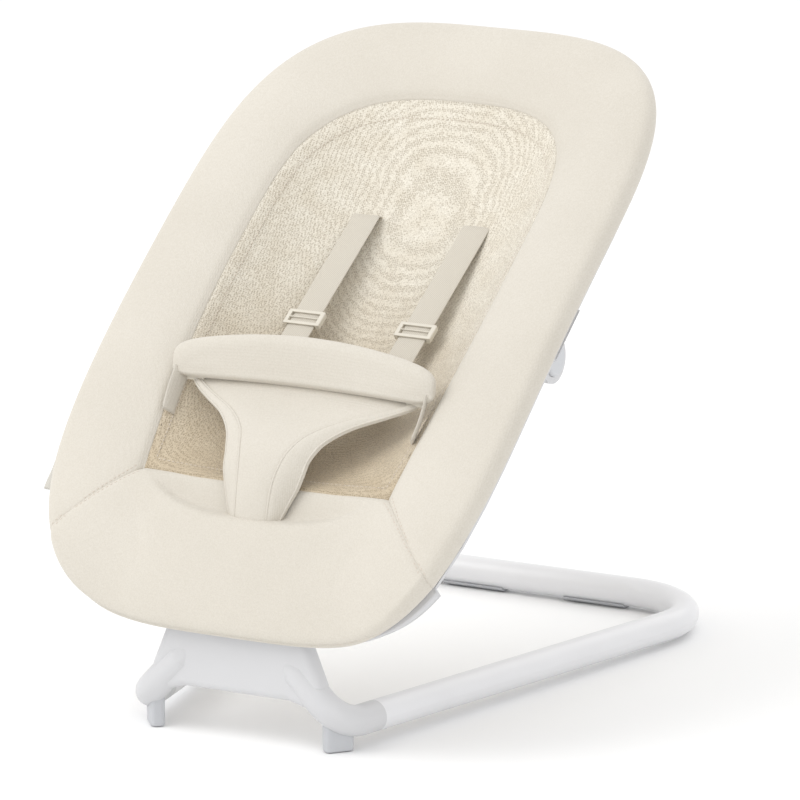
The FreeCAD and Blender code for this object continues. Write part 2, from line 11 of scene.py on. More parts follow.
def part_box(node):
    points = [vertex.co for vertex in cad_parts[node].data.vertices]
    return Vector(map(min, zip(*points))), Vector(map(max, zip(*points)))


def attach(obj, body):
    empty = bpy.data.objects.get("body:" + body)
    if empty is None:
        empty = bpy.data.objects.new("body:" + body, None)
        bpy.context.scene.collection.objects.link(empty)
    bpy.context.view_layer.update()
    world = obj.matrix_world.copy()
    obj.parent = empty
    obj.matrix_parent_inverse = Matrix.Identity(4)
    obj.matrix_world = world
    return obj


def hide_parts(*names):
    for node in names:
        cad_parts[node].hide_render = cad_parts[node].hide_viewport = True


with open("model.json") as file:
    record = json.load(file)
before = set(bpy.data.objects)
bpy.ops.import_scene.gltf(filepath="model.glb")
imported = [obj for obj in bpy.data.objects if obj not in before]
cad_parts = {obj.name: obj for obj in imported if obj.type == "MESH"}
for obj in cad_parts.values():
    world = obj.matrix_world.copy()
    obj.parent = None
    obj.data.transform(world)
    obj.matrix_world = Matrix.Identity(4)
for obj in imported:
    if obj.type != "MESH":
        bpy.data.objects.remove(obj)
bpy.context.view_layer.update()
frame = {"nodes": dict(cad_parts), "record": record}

MM = 0.001                        # shapes are worked out in millimetres, and make_piece makes metres

# ------------------------------------------------------------------ seat surface
# The seat's upper surface bends one way only: a side profile made of arcs from the head end
# forward and down, and a flat outline laid on it. A place on it is (x, s, n): across, length
# from the head end, and height over the surface.
PROFILE_START = (200.9, 510.3)    # y and z of the head end
PROFILE_SLOPE = 28.07             # slope of the head end in degrees
PROFILE_ARCS = [(130.0, 5.74), (230.0, 5.21), (155.0, 6.19), (65.0, 10.29), (75.0, 27.64)]
HALF_WIDTH = 200.6
# ends of the outline and of the mesh: centre along s, reach, power of the superellipse
HEAD_CURVE = (270.0, 263.5, 3.35)
FRONT_CURVE = (330.0, 316.0, 4.0)
MESH_HALF = 126.0
MESH_HEAD = (250.0, 160.0, 2.95)
MESH_TAPER_S = 300.0              # the mesh narrows from here to its front seam
MESH_FRONT_S = 515.0
MESH_FRONT_HALF = 112.5
MESH_SAG = 54.0
SEAM_DEPTH = 8.0                  # how far the mesh seam sinks towards the head
SEAM_DEPTH_S = (90.0, 170.0)
DIAGONAL_S = 585.0                # where the diagonal seams meet the outer edge
TAB_S = 527.0
FRONT_RISE = 11.0                 # how far the front panel's corners rise
EDGE_R = 12.0                     # the padded edge is rolled round the hoop
FINE_STEPS = 600                  # samples that a line is measured with
TUCK = 2.0                        # how far a panel's end goes under its neighbour
END_DIP = 1.4                     # how deep a panel's surface sinks at a diagonal seam
TUCKED_DIP = 3.0                  # and beyond it, under the neighbour


def clamp(value, low=0.0, high=1.0):
    return min(high, max(low, value))


def smooth(value):
    value = clamp(value)
    return value * value * (3 - 2 * value)


def bell(value):
    return math.exp(-value * value)


def profile(s):
    """Side profile at length s from the head end: y, z and slope in radians."""
    y, z = PROFILE_START
    slope = math.radians(PROFILE_SLOPE)
    for index, (length, turn) in enumerate(PROFILE_ARCS):
        last = index == len(PROFILE_ARCS) - 1
        run = max(0.0, s if last else min(s, length))
        bend = math.radians(turn) * run / length
        y -= run * math.cos(slope + bend / 2)
        z -= run * math.sin(slope + bend / 2)
        slope += bend
        s -= run
    return y, z, slope


def seat_point(x, s, n=0.0):
    y, z, slope = profile(s)
    return Vector((x, y - n * math.sin(slope), z + n * math.cos(slope)))


def seat_normal(s):
    slope = profile(s)[2]
    return Vector((0, -math.sin(slope), math.cos(slope)))


def rounded(value, power):
    return max(0.0, 1 - abs(value) ** power) ** (1 / power)


def half_width(s):
    centre, reach, power = HEAD_CURVE
    if s < centre:
        return HALF_WIDTH * rounded((centre - s) / reach, power)
    centre, reach, power = FRONT_CURVE
    return HALF_WIDTH * rounded(max(0.0, s - centre) / reach, power)


def mesh_half(s):
    centre, reach, power = MESH_HEAD
    if s < centre:
        return MESH_HALF * rounded((centre - s) / reach, power)
    taper = max(0.0, (s - MESH_TAPER_S) / (MESH_FRONT_S - MESH_TAPER_S))
    return MESH_HALF - (MESH_HALF - MESH_FRONT_HALF) * taper ** 1.6


def seam_height(s):
    first, last = SEAM_DEPTH_S
    return -SEAM_DEPTH * clamp((last - s) / (last - first))


def curve_point(angle, half, curve):
    """Point on a superellipse end: angle 0 on the right side, 90 at the middle."""
    centre, reach, power = curve
    x = half * max(0.0, math.cos(math.radians(angle))) ** (2 / power)
    return x, centre - reach * math.sin(math.radians(angle)) ** (2 / power)


def lengths(points):
    """Running length along a row of points."""
    total = [0.0]
    for a, b in zip(points, points[1:]):
        total.append(total[-1] + math.dist(a, b))
    return total


def even(make, count, start=0.0, end=1.0):
    """count + 1 values of make's parameter, evenly spaced along the two lines that it gives."""
    fine = [start + (end - start) * i / FINE_STEPS for i in range(FINE_STEPS + 1)]
    outer = lengths([make(t)[0] for t in fine])
    inner = lengths([make(t)[1] for t in fine])
    share = [a / outer[-1] + b / inner[-1] for a, b in zip(outer, inner)]
    return [float(np.interp(2 * i / count, share, fine)) for i in range(count + 1)]


def mirrored(stations):
    """Adds the left half to the right half of a row of (outer, inner) stations."""
    left = [((-o[0], o[1]), (-i[0], i[1])) for o, i in stations[:-1]]
    return stations + left[::-1]


def border_stations(side=46, head=64):
    """Stations from the right diagonal seam, round the head, to the left diagonal seam."""
    stations = []
    for k in range(side):
        u = k / side
        outer_s = DIAGONAL_S + (HEAD_CURVE[0] - DIAGONAL_S) * u
        inner_s = MESH_FRONT_S + (MESH_HEAD[0] - MESH_FRONT_S) * u
        stations.append(((half_width(outer_s), outer_s), (mesh_half(inner_s), inner_s)))

    def turn(angle):
        return (curve_point(angle, HALF_WIDTH, HEAD_CURVE),
                curve_point(angle, MESH_HALF, MESH_HEAD))

    return mirrored(stations + [turn(angle) for angle in even(turn, head, 0.0, 90.0)])


def front_stations(count=56):
    """Stations from the right diagonal seam, round the front edge, to the left one."""
    centre, reach, power = FRONT_CURVE
    first = math.degrees(math.asin(((DIAGONAL_S - centre) / reach) ** (power / 2)))

    def turn(angle):
        return curve_point(angle, HALF_WIDTH, (centre, -reach, power))

    fine = [first + (90 - first) * i / FINE_STEPS for i in range(FINE_STEPS + 1)]
    run = lengths([turn(angle) for angle in fine])
    stations = []
    for k in range(count + 1):
        share = k / count
        angle = float(np.interp(share * run[-1], run, fine))
        stations.append((turn(angle), (MESH_FRONT_HALF * (1 - share), MESH_FRONT_S)))
    return mirrored(stations)


# ------------------------------------------------------------------ mesh making
def make_piece(name, points, faces, body, slot):
    mesh = bpy.data.meshes.new(name)
    mesh.from_pydata([tuple(c * MM for c in p) for p in points], [], faces)
    mesh.validate()
    mesh.polygons.foreach_set("use_smooth", [True] * len(mesh.polygons))
    piece = bpy.data.objects.new(name, mesh)
    bpy.context.collection.objects.link(piece)
    piece.data.materials.append(materials[slot])
    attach(piece, body)
    return piece


def grid_faces(rows, columns, close_rows=False, close_columns=False, first=0):
    faces = []
    for i in range(rows if close_rows else rows - 1):
        for j in range(columns if close_columns else columns - 1):
            a = first + i * columns + j
            b = first + i * columns + (j + 1) % columns
            c = first + ((i + 1) % rows) * columns + (j + 1) % columns
            d = first + ((i + 1) % rows) * columns + j
            faces.append((a, b, c, d))
    return faces


def capped(rows, columns):
    """Faces of a closed-section tube with both ends capped by fans round a middle point."""
    faces = grid_faces(rows, columns, close_columns=True)
    first, last = rows * columns, rows * columns + 1
    for j in range(columns):
        faces.append((first, (j + 1) % columns, j))
        end = (rows - 1) * columns
        faces.append((last, end + j, end + (j + 1) % columns))
    return faces


def tube_piece(name, rows, body, slot):
    """Closed solid from a row of closed sections."""
    points = [p for row in rows for p in row]
    for row in (rows[0], rows[-1]):
        points.append(sum((Vector(p) for p in row), Vector()) / len(row))
    return make_piece(name, points, capped(len(rows), len(rows[0])), body, slot)


SIDE_GUIDE = Vector((0.3, 0.2, 1))    # sets how round sections are turned about their line


def round_rows(line, radius, sides=10):
    """Round sections along a line of points; radius gives the size at a share of the line."""
    rows = []
    for i, p in enumerate(line):
        ahead = Vector(line[min(i + 1, len(line) - 1)]) - Vector(line[max(i - 1, 0)])
        ahead.normalize()
        side = ahead.cross(SIDE_GUIDE).normalized()
        top = side.cross(ahead)
        size = radius(i / (len(line) - 1))
        row = []
        for k in range(sides):
            turn = 2 * math.pi * k / sides
            row.append(Vector(p) + (side * math.cos(turn) + top * math.sin(turn)) * size)
        rows.append(row)
    return rows


def add_modifier(piece, kind, **values):
    modifier = piece.modifiers.new(kind.lower(), kind)
    for key, value in values.items():
        setattr(modifier, key, value)
    return modifier


def apply_modifiers(piece):
    graph = bpy.context.evaluated_depsgraph_get()
    done = bpy.data.meshes.new_from_object(piece.evaluated_get(graph))
    piece.modifiers.clear()
    piece.data = done


def subdivide(piece):
    add_modifier(piece, "SUBSURF", levels=1, render_levels=1)
    apply_modifiers(piece)


def coordinates(mesh):
    values = np.zeros(len(mesh.vertices) * 3)
    mesh.vertices.foreach_get("co", values)
    return values.reshape(-1, 3)


CLOTH_STIFFNESS = 12.0
CLOTH_FRAMES = 20
NO_MOVE = 1e-9                    # metres, shorter moves count as none


def puff(piece, hold, pressure, cap):
    """Swells a padded piece by cloth simulation; hold gives each point's pin, 0 to 1."""
    before = coordinates(piece.data)
    group = piece.vertex_groups.new(name="hold")
    for index, weight in enumerate(hold):
        group.add([index], weight, "REPLACE")
    cloth = add_modifier(piece, "CLOTH")
    cloth.settings.quality = 6
    cloth.settings.mass = 0.15
    cloth.settings.tension_stiffness = CLOTH_STIFFNESS
    cloth.settings.compression_stiffness = CLOTH_STIFFNESS
    cloth.settings.shear_stiffness = CLOTH_STIFFNESS / 2
    cloth.settings.bending_stiffness = 0.6
    cloth.settings.use_pressure = True
    cloth.settings.uniform_pressure_force = pressure
    cloth.settings.vertex_group_mass = "hold"
    cloth.settings.effector_weights.gravity = 0.0
    cloth.collision_settings.use_collision = False
    cloth.point_cache.frame_start = 1
    cloth.point_cache.frame_end = CLOTH_FRAMES
    scene = bpy.context.scene
    for step in range(1, CLOTH_FRAMES + 1):
        scene.frame_set(step)
    graph = bpy.context.evaluated_depsgraph_get()
    swollen = coordinates(piece.evaluated_get(graph).data)
    piece.modifiers.clear()
    piece.vertex_groups.clear()
    scene.frame_set(1)
    move = swollen - before
    size = np.linalg.norm(move, axis=1)
    limit = cap * MM
    # a soft cap: short moves stay as they are, long ones approach the limit
    capped_size = limit * np.tanh(size / limit)
    scale = np.where(size > NO_MOVE, capped_size / np.maximum(size, NO_MOVE), 0.0)
    piece.data.vertices.foreach_set("co", (before + move * scale[:, None]).ravel())
    piece.data.update()


class Skin:
    """Finds the nearest place on a finished piece, in millimetres."""

    def __init__(self, piece):
        graph = bpy.context.evaluated_depsgraph_get()
        self.tree = BVHTree.FromObject(piece, graph)

    def at(self, point):
        place, normal, _, _ = self.tree.find_nearest(Vector(point) * MM)
        return place / MM, normal


STITCH_SIDES = 6
# a stitch's rings: share of its length, share of its radius, height over the cloth
STITCH_RINGS = ((0.0, 0.35, -0.25), (0.25, 1.0, 0.08), (0.75, 1.0, 0.08), (1.0, 0.35, -0.25))


def stitch_line(skin, line, points, faces, stitch=3.0, gap=1.1, radius=0.36):
    """Adds a run of thread stitches along a line laid on a skin."""
    run = lengths(line)
    place = gap
    while place + stitch < run[-1]:
        ends = []
        for at in (place, place + stitch):
            k = int(np.searchsorted(run, at)) - 1
            share = (at - run[k]) / max(run[k + 1] - run[k], 1e-6)
            ends.append(Vector(line[k]).lerp(Vector(line[k + 1]), share))
        (a, normal), (b, _) = skin.at(ends[0]), skin.at(ends[1])
        ahead = b - a
        if ahead.length > stitch / 2:
            ahead.normalize()
            side = ahead.cross(normal).normalized()
            first = len(points)
            for along, size, height in STITCH_RINGS:
                centre = a.lerp(b, along) + normal * height
                for k in range(STITCH_SIDES):
                    turn = 2 * math.pi * k / STITCH_SIDES
                    points.append(centre + (side * math.cos(turn)
                                            + normal * math.sin(turn)) * radius * size)
            rings = len(STITCH_RINGS)
            faces += grid_faces(rings, STITCH_SIDES, close_columns=True, first=first)
            faces.append(tuple(first + k for k in reversed(range(STITCH_SIDES))))
            last = first + (rings - 1) * STITCH_SIDES
            faces.append(tuple(last + k for k in range(STITCH_SIDES)))
        place += stitch + gap


# ------------------------------------------------------------------ materials
def nodes_of(name):
    material = bpy.data.materials.new(name)
    material.use_nodes = True
    tree = material.node_tree
    shader = tree.nodes["Principled BSDF"]
    return material, tree, shader


def node(tree, kind, **values):
    made = tree.nodes.new(kind)
    for key, value in values.items():
        if key in made.inputs:
            made.inputs[key].default_value = value
        else:
            setattr(made, key, value)
    return made


def place_of(tree, turn=(0, 0, 0), size=(1, 1, 1)):
    where = node(tree, "ShaderNodeTexCoord")
    mapping = node(tree, "ShaderNodeMapping")
    mapping.inputs["Rotation"].default_value = [math.radians(a) for a in turn]
    mapping.inputs["Scale"].default_value = size
    tree.links.new(where.outputs["Object"], mapping.inputs["Vector"])
    return mapping.outputs["Vector"]


def noise(tree, where, scale, detail=2.0, rough=0.5):
    made = node(tree, "ShaderNodeTexNoise", Scale=scale, Detail=detail, Roughness=rough)
    tree.links.new(where, made.inputs["Vector"])
    return made.outputs["Fac"]


def ramp(tree, value, stops):
    made = node(tree, "ShaderNodeValToRGB")
    tree.links.new(value, made.inputs["Fac"])
    elements = made.color_ramp.elements
    while len(elements) < len(stops):
        elements.new(0.5)
    for element, (place, colour) in zip(elements, stops):
        element.position = place
        element.color = (*colour, 1)
    return made.outputs["Color"]


def math_node(tree, operation, a, b):
    made = node(tree, "ShaderNodeMath", operation=operation)
    for socket, value in zip(made.inputs, (a, b)):
        if isinstance(value, (int, float)):
            socket.default_value = value
        else:
            tree.links.new(value, socket)
    return made.outputs[0]


def mixed(tree, share, a, b, blend="MIX"):
    made = node(tree, "ShaderNodeMix", data_type="RGBA", blend_type=blend)
    for socket, value in zip((made.inputs[0], made.inputs[6], made.inputs[7]), (share, a, b)):
        if isinstance(value, (int, float)):
            socket.default_value = value
        elif isinstance(value, tuple):
            socket.default_value = (*value, 1)
        else:
            tree.links.new(value, socket)
    return made.outputs[2]


def bump(tree, shader, height, strength, distance):
    made = node(tree, "ShaderNodeBump", Strength=strength, Distance=distance)
    tree.links.new(height, made.inputs["Height"])
    tree.links.new(made.outputs["Normal"], shader.inputs["Normal"])


def waves(tree, where, scale, direction, warp=0.0):
    made = node(tree, "ShaderNodeTexWave", wave_type="BANDS", bands_direction=direction,
                wave_profile="SIN", Scale=scale, Distortion=warp)
    tree.links.new(where, made.inputs["Vector"])
    return made.outputs["Fac"]


SEAT_LEAN = (40, 0, 0)            # degrees that turn a texture to lie along the seat
RIB_SCALE = 700.0 / 3.14
FLECK_SHARE = 0.5


def fabric(name, light, dark):
    """Fine jersey: two crossing ribs, melange flecks and slow colour drift."""
    material, tree, shader = nodes_of(name)
    where = place_of(tree, turn=SEAT_LEAN)
    flecks = noise(tree, place_of(tree, turn=SEAT_LEAN, size=(1, 0.45, 1)), 900, 3.0, 0.7)
    drift = noise(tree, where, 9, 3.0)
    colour = ramp(tree, flecks, [(0.38, dark), (0.62, light)])
    colour = mixed(tree, 1 - FLECK_SHARE, colour, light)
    drifted = ramp(tree, drift, [(0.3, (0.93, 0.925, 0.915)), (0.7, (1, 1, 1))])
    colour = mixed(tree, 0.8, colour, drifted, "MULTIPLY")
    tree.links.new(colour, shader.inputs["Base Color"])
    ribs = math_node(tree, "ADD", waves(tree, where, RIB_SCALE, "X", 1.2),
                     waves(tree, where, RIB_SCALE, "Y", 1.2))
    height = math_node(tree, "ADD", ribs, math_node(tree, "MULTIPLY", flecks, 1.6))
    bump(tree, shader, height, 0.22, 0.0003)
    rough = ramp(tree, flecks, [(0.2, (0.82, 0.82, 0.82)), (0.8, (0.95, 0.95, 0.95))])
    tree.links.new(rough, shader.inputs["Roughness"])
    shader.inputs["Sheen Weight"].default_value = 0.25
    shader.inputs["Sheen Roughness"].default_value = 0.45
    shader.inputs["Specular IOR Level"].default_value = 0.25
    return material


def knit_mesh(name):
    """Open knit: small dark dimples between light yarn loops, with painted shade making it darker
    and warmer towards the low end.
    """
    material, tree, shader = nodes_of(name)
    where = place_of(tree, turn=(42, 0, 0))
    bend = noise(tree, where, 60, 2.0)
    bent = node(tree, "ShaderNodeVectorMath", operation="MULTIPLY_ADD")
    tree.links.new(bend, bent.inputs[0])
    bent.inputs[1].default_value = (0.0012, 0.0012, 0.0012)
    tree.links.new(where, bent.inputs[2])
    cells = node(tree, "ShaderNodeTexVoronoi", voronoi_dimensions="3D", feature="F1",
                 Scale=600.0, Randomness=0.5)
    tree.links.new(bent.outputs[0], cells.inputs["Vector"])
    hole = ramp(tree, cells.outputs["Distance"], [(0.1, (0, 0, 0)), (0.55, (1, 1, 1))])
    yarn = noise(tree, where, 1400, 2.0, 0.6)
    patch = noise(tree, where, 45, 3.0, 0.6)
    light = ramp(tree, yarn, [(0.35, (0.64, 0.595, 0.50)), (0.65, (0.84, 0.80, 0.71))])
    colour = mixed(tree, hole, (0.44, 0.385, 0.30), light)
    # painted shade: a ramp over height darkens and warms the mesh towards its low end, standing in
    # for the shade in the well under the waist bar
    painted_shade_height = node(tree, "ShaderNodeSeparateXYZ")
    tree.links.new(place_of(tree), painted_shade_height.inputs[0])
    low = ramp(tree, math_node(tree, "MULTIPLY", painted_shade_height.outputs["Z"], 2.0),
               [(0.42, (0.74, 0.66, 0.55)), (0.66, (1, 1, 1))])
    colour = mixed(tree, 1.0, colour, low, "MULTIPLY")
    drift = ramp(tree, patch, [(0.3, (0.92, 0.90, 0.87)), (0.7, (1, 1, 1))])
    colour = mixed(tree, 1.0, colour, drift, "MULTIPLY")
    tree.links.new(colour, shader.inputs["Base Color"])
    height = math_node(tree, "ADD", hole, math_node(tree, "MULTIPLY", yarn, 0.6))
    bump(tree, shader, height, 0.6, 0.0006)
    rough = ramp(tree, yarn, [(0.2, (0.55, 0.55, 0.55)), (0.8, (0.8, 0.8, 0.8))])
    tree.links.new(rough, shader.inputs["Roughness"])
    shader.inputs["Sheen Weight"].default_value = 0.35
    shader.inputs["Sheen Roughness"].default_value = 0.35
    return material


def woven(name, light, dark):
    """Webbing: fine diagonal twill along the strap."""
    material, tree, shader = nodes_of(name)
    where = place_of(tree, turn=(33, 0, 0))
    twill = waves(tree, where, 300, "DIAGONAL", 0.4)
    across = waves(tree, where, 420, "X", 0.3)
    speck = noise(tree, where, 1200, 2.0)
    colour = ramp(tree, math_node(tree, "MULTIPLY", math_node(tree, "ADD", twill, speck), 0.5),
                  [(0.25, dark), (0.75, light)])
    tree.links.new(colour, shader.inputs["Base Color"])
    bump(tree, shader, math_node(tree, "ADD", twill, across), 0.4, 0.0003)
    rough = ramp(tree, speck, [(0.2, (0.7, 0.7, 0.7)), (0.8, (0.85, 0.85, 0.85))])
    tree.links.new(rough, shader.inputs["Roughness"])
    shader.inputs["Sheen Weight"].default_value = 0.15
    return material


def plastic(name, colour, rough, grain=2600.0, strength=0.12, coat=0.0):
    """Moulded or painted surface: fine grain, slight cloudiness and worn gloss."""
    material, tree, shader = nodes_of(name)
    where = place_of(tree)
    fine = noise(tree, where, grain, 2.0, 0.6)
    cloud = noise(tree, where, 14, 3.0)
    dim = tuple(c * 0.965 for c in colour)
    tree.links.new(ramp(tree, cloud, [(0.3, dim), (0.7, colour)]), shader.inputs["Base Color"])
    low, high = rough
    value = math_node(tree, "ADD", math_node(tree, "MULTIPLY", cloud, 0.5),
                      math_node(tree, "MULTIPLY", fine, 0.5))
    tree.links.new(ramp(tree, value, [(0.3, (low,) * 3), (0.7, (high,) * 3)]),
                   shader.inputs["Roughness"])
    bump(tree, shader, fine, strength, 0.0002)
    if coat:
        shader.inputs["Coat Weight"].default_value = coat
        shader.inputs["Coat Roughness"].default_value = 0.25
    return material


def metal(name, colour, rough):
    """Bright steel with fine drawn lines."""
    material, tree, shader = nodes_of(name)
    lines = noise(tree, place_of(tree, size=(0.05, 1, 1)), 1500, 2.0, 0.6)
    tree.links.new(ramp(tree, lines, [(0.3, tuple(c * 0.9 for c in colour)), (0.7, colour)]),
                   shader.inputs["Base Color"])
    low, high = rough
    tree.links.new(ramp(tree, lines, [(0.3, (low,) * 3), (0.7, (high,) * 3)]),
                   shader.inputs["Roughness"])
    bump(tree, shader, lines, 0.1, 0.0001)
    shader.inputs["Metallic"].default_value = 1.0
    return material


CREAM = (0.653, 0.616, 0.549)
CREAM_DARK = (0.56, 0.52, 0.447)
materials = {
    "melange_fabric": fabric("melange_fabric", CREAM, CREAM_DARK),
    "mesh_fabric": knit_mesh("mesh_fabric"),
    "webbing": woven("webbing", (0.62, 0.58, 0.50), (0.53, 0.485, 0.41)),
    "ribbon": woven("ribbon", (0.62, 0.60, 0.55), (0.54, 0.52, 0.47)),
    "frame_paint": plastic("frame_paint", (0.76, 0.76, 0.775), (0.28, 0.38), 900.0, 0.08, 0.2),
    "white_plastic": plastic("white_plastic", (0.61, 0.61, 0.62), (0.38, 0.5)),
    "grey_plastic": plastic("grey_plastic", (0.58, 0.59, 0.61), (0.4, 0.5)),
    "foot_plastic": plastic("foot_plastic", (0.52, 0.53, 0.55), (0.5, 0.65)),
    "cream_plastic": plastic("cream_plastic", (0.67, 0.63, 0.545), (0.3, 0.42)),
    "steel_bar": metal("steel_bar", (0.62, 0.63, 0.65), (0.25, 0.4)),
    "fasteners": metal("fasteners", (0.58, 0.58, 0.6), (0.3, 0.45)),
}
thread = woven("seam_thread", (0.70, 0.63, 0.55), (0.60, 0.525, 0.445))
# painted shadow: a near-black colour for the shade inside the slots
slot_painted_shadow = plastic("slot_shadow", (0.035, 0.028, 0.022), (0.8, 0.9))


def dress_frame():
    """Gives every CAD node its material."""
    slots = {part["node"]: part["material_slot"] for part in frame["record"]["subparts"]}
    for name, piece in frame["nodes"].items():
        for index in range(max(1, len(piece.material_slots))):
            if not piece.material_slots:
                piece.data.materials.append(None)
            piece.material_slots[index].material = materials[slots[name]]


# ------------------------------------------------------------------ padded cover
def station_width(outer, inner):
    return math.dist(outer, inner)


def border_top(d, width, seam_n):
    """Height of the border's top at a distance in from the edge."""
    q = clamp((d - EDGE_R) / max(width - EDGE_R, 1))
    fall = 1 - q ** 1.6
    crown = 2.2 * math.sin(math.pi * q) ** 0.8 if q > 0 else 0.0
    roll = 2.6 * (1 - bell((width - d) / 4.0)) - 2.6
    return seam_n + 2.6 + (EDGE_R - seam_n - 2.6) * fall + crown + roll


def station_place(outer, inner, d, n):
    """Point at distance d in from the edge, towards the mesh, and height n over the surface."""
    width = station_width(outer, inner)
    share = d / width
    return seat_point(outer[0] + (inner[0] - outer[0]) * share,
                      outer[1] + (inner[1] - outer[1]) * share, n)


SEAM_ROWS = (0.0, 1.2, 2.6, 4.4, 6.8, 10.0)   # distances from the mesh seam


def tucked(stations, reach):
    """Adds a station past each end, under the neighbouring panel."""
    ends = []
    for first, second in ((stations[0], stations[1]), (stations[-1], stations[-2])):
        pair = []
        for a, b in zip(first, second):
            run = math.dist(a, b)
            share = reach / run if run > 0.05 else 0.0
            pair.append((a[0] + (a[0] - b[0]) * share, a[1] + (a[1] - b[1]) * share))
        ends.append(tuple(pair))
    return [ends[0]] + stations + [ends[1]]


def border_profile(width, seam_n):
    """Closed section of the border: (distance in from the edge, height)."""
    shape = [(width - r, border_top(width - r, width, seam_n)) for r in SEAM_ROWS]
    last = width - SEAM_ROWS[-1]
    for k in range(1, 9):
        d = last + (EDGE_R + 2 - last) * k / 8
        shape.append((d, border_top(d, width, seam_n)))
    for k in range(9):
        turn = math.radians(90 + 22.5 * k)
        shape.append((EDGE_R + EDGE_R * math.cos(turn), EDGE_R * math.sin(turn)))
    under = [(0.2, -10.5), (0.42, -8.0), (0.65, seam_n * 0.6 - 7.0), (0.85, seam_n - 6.0),
             (1.0, seam_n - 4.5)]
    shape += [(EDGE_R + (width - EDGE_R) * q, n) for q, n in under]
    return shape


def end_dip(ends):
    """How deep a panel's surface sinks, by stations counted from its end."""
    return TUCKED_DIP if ends < 0 else END_DIP * bell(ends / 1.2)


def end_capped(rows, columns):
    """Faces of a closed-section panel with one flat face at each end."""
    faces = grid_faces(rows, columns, close_columns=True)
    faces.append(tuple(range(columns - 1, -1, -1)))
    faces.append(tuple((rows - 1) * columns + k for k in range(columns)))
    return faces


def make_border():
    stations = tucked(border_stations(), TUCK)
    rows = []
    hold = []
    for index, (outer, inner) in enumerate(stations):
        width = station_width(outer, inner)
        shape = border_profile(width, seam_height(inner[1]))
        ends = min(index, len(stations) - 1 - index) - 1
        dip = end_dip(ends)
        for k, (d, n) in enumerate(shape):
            top = 0 < k < 20
            rows.append(station_place(outer, inner, d, n - (dip if top else 0)))
            free = smooth((width - d) / 22) if k < 15 else 0.25 if k < 22 else 0.0
            hold.append(1 - free * smooth(ends / 3))
    faces = end_capped(len(stations), len(shape))
    piece = make_piece("border_cover", rows, faces, "seat", "melange_fabric")
    puff(piece, hold, 3.0, 4.0)
    subdivide(piece)
    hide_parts("border_cushion")
    return piece


FRONT_STEPS = 34                  # places across the front panel outside its seam
FRONT_BLEND = 26                  # stations over which it takes up the border's section
LIP_OUT = 36.0                    # how far in front of the mesh seam the lip's crest is
LIP_HIGH = 5.5
LIP_FALL = 34.0                   # how far the crest takes to fall away to the front
LIP_SHARES = (0, 0.2, 0.4, 0.6, 0.75, 0.87, 0.95, 1)       # from the mesh seam to the crest
LIP_RELIEF = (0, -1.8, -3.8, -5.6, -6.0, -2.6, 2.4, 5.5)


def lip_place(x):
    return LIP_OUT * (1 - clamp(abs(x) / MESH_FRONT_HALF) ** 3)


def front_top(x, s):
    """Height of the front panel: a shallow valley behind a soft lip, rising to its corners."""
    rise = FRONT_RISE * (abs(x) / HALF_WIDTH) ** 4
    crest = lip_place(x)
    back = max(0.0, s - MESH_FRONT_S)
    size = clamp(crest / LIP_OUT) ** 0.7
    if back > crest:
        return rise + LIP_HIGH * size * bell((back - crest) / LIP_FALL)
    t = back / max(crest, 1e-6)
    relief = np.interp(t, LIP_SHARES, LIP_RELIEF)
    return rise + size * float(relief)


def front_profile(outer, inner, width, blend):
    """Closed section of the front panel, with a sewn roll along its lower edge."""
    shape = []
    steps = list(SEAM_ROWS) + [SEAM_ROWS[-1] + (width - 6 - SEAM_ROWS[-1]) * k / FRONT_STEPS
                               for k in range(1, FRONT_STEPS + 1)]
    for r in steps:
        d = width - r
        share = r / width
        x = inner[0] + (outer[0] - inner[0]) * share
        s = inner[1] + (outer[1] - inner[1]) * share
        n = front_top(x, s) - 2.0 * bell(r / 2.5)
        n += (border_top(d, width, 0.0) - n) * blend
        shape.append((d, n))
    top = shape[-1][1]
    roll = [(2.6, -0.8), (1.0, -1.9), (0.6, -2.8), (2.4, -3.6), (-0.6, -4.4), (-2.0, -6.0),
            (-2.0, -8.0), (-0.4, -9.5), (3.0, -10.0), (9.0, -9.6)]
    border_roll = [(4.0, -2.5), (1.2, -6.5), (0.1, -10.0), (0.0, -13.5), (1.2, -17.5),
                   (4.0, -21.0), (8.0, -23.3), (12.0, -24.0), (18.0, -23.0), (24.0, -22.0)]
    for (d, n), (db, nb) in zip(roll, border_roll):
        shape.append((d + (db - d) * blend, top + n + (nb - n) * blend))
    depth = shape[-1][1]
    shape.append((width * 0.45, depth + 1.0 * (1 - blend)))
    shape.append((width * 0.8, min(-9.0, depth + 3.0)))
    shape.append((width, -6.0))
    return shape


def make_front():
    stations = tucked(front_stations(), TUCK)
    rows = []
    hold = []
    for index, (outer, inner) in enumerate(stations):
        width = station_width(outer, inner)
        ends = min(index, len(stations) - 1 - index) - 1
        blend = 1 - smooth(ends / FRONT_BLEND)
        shape = front_profile(outer, inner, width, blend)
        dip = end_dip(ends)
        top = len(SEAM_ROWS) + FRONT_STEPS
        for k, (d, n) in enumerate(shape):
            sink = dip if 0 < k < top + 4 else 0
            rows.append(station_place(outer, inner, d, n - sink))
            free = smooth((width - d) / 30) * smooth((d - 4) / 12) if k < top else 0.0
            hold.append(1 - free * smooth(ends / 4))
    faces = end_capped(len(stations), len(shape))
    piece = make_piece("front_cover", rows, [f[::-1] for f in faces], "seat", "melange_fabric")
    puff(piece, hold, 3.0, 3.0)
    subdivide(piece)
    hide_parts("front_cushion")
    return piece


def apron_profile(width, corner):
    """Closed section of the moulding under the front cover, deeper at its corners."""
    low = 10.0 * corner
    top = -8.8 - 3.6 * corner
    return [(1.4, top), (-0.1, top - 0.3), (-0.7, top - 0.9 - 0.3 * low), (-0.1, -10.2 - low),
            (3.5, -10.6 - low), (12.0, -10.8 - 0.8 * low), (20.0, -11.0 - 0.4 * low),
            (40.0, -11.4), (0.62 * width, -11.4), (0.62 * width, -9.8), (40.0, -9.9),
            (20.0, -9.4), (10.0, top + 0.2)]


